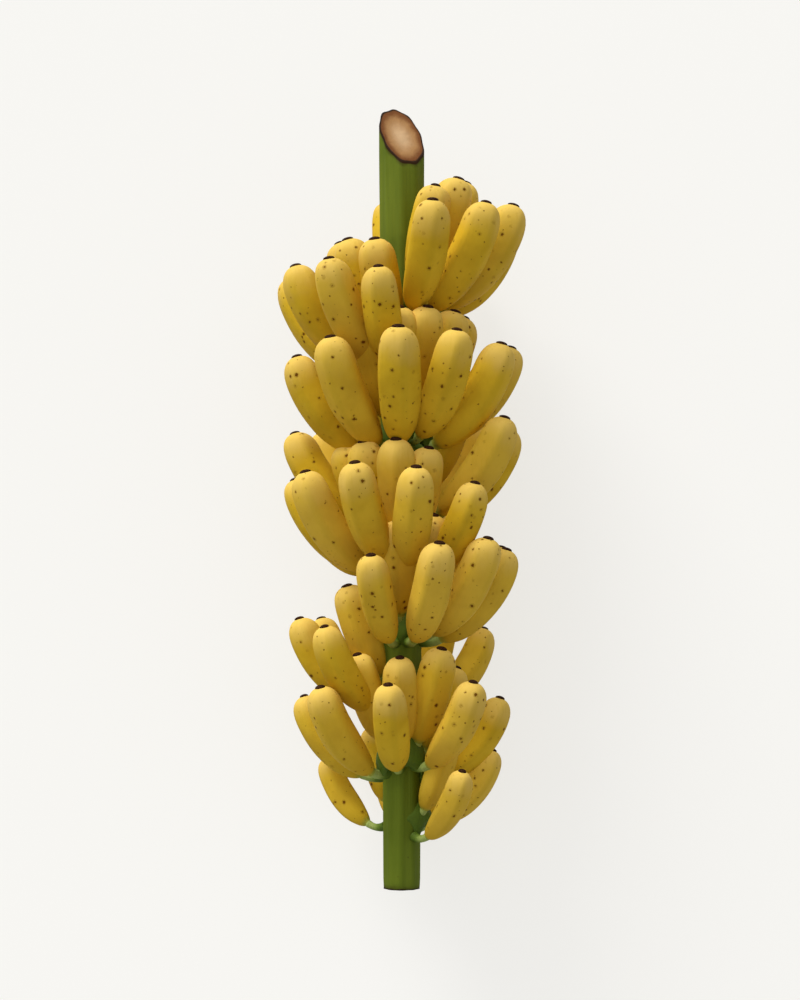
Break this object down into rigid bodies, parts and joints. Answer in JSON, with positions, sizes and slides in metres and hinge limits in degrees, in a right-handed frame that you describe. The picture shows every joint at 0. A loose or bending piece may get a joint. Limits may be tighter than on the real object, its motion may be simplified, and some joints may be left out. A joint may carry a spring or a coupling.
{
  "type": "bunch of bananas",
  "caption": "Long upright-grown stalk with hands of short, plump yellow fruit set round it on a spiral, cut at both ends and lying on its back.",
  "frame": {"origin": "on the surface it lies on, under the middle of the whole bunch", "axes": "+Y along the stalk towards its thick, slanting cut end, +Z up from the surface, +X to the right when seen from above with +Y up"},
  "size_m": [0.2142, 0.6712, 0.2085],
  "materials": {
    "stalk": "smooth green plant skin, satin, with faint lengthwise fibres",
    "fruit": "ripe yellow peel, satin, with small brown flecks and dark brown tips",
    "stem": "pale to dark green plant skin of the fruit stems and cushions, satin",
    "tip": "dry dark brown flower scar, matt",
    "cut": "freshly cut beige-brown pith with a dark dried rim, matt"
  },
  "bodies": {
    "root": {"stalk": "stalk", "hand_1": "fruit", "hand_2": "fruit", "hand_3": "fruit", "hand_4": "fruit", "hand_5": "fruit", "hand_6": "fruit", "hand_7": "fruit", "hand_8": "fruit", "hand_9": "fruit"}
  },
  "joints": []
}
